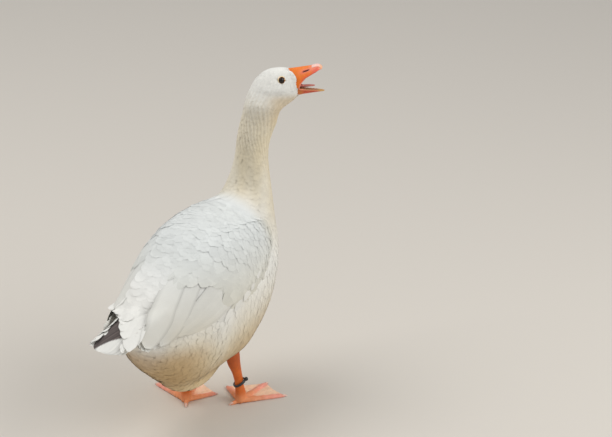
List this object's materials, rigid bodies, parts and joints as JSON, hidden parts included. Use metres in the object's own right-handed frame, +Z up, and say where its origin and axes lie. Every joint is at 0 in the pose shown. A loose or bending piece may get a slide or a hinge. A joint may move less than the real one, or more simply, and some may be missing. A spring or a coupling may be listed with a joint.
{
  "type": "domestic goose",
  "caption": "Still life-size model of a white domestic goose, standing, head turned to its right, bill open, with a ring on its right leg.",
  "frame": {"origin": "on the floor, under the middle of the model's box", "axes": "+Z up; the goose faces -Y, and its right side is at -X"},
  "size_m": [0.2674, 0.616, 0.725],
  "materials": {
    "plumage": "matte",
    "neck_plumage": "matte",
    "bill": "satin",
    "tongue": "satin",
    "eye": "gloss",
    "leg_skin": "satin",
    "foot_skin": "satin",
    "ring": "satin"
  },
  "bodies": {
    "root": {"head": "plumage", "neck_upper": "neck_plumage", "neck_lower": "neck_plumage", "trunk": "plumage", "wing_right": "plumage", "wing_left": "plumage", "tail": "plumage", "leg_right": "leg_skin", "leg_left": "leg_skin", "foot_right": "foot_skin", "foot_left": "foot_skin", "leg_ring": "ring", "upper_bill": "bill", "lower_bill": "bill", "tongue": "tongue", "eye_right": "eye", "eye_left": "eye"}
  },
  "joints": []
}
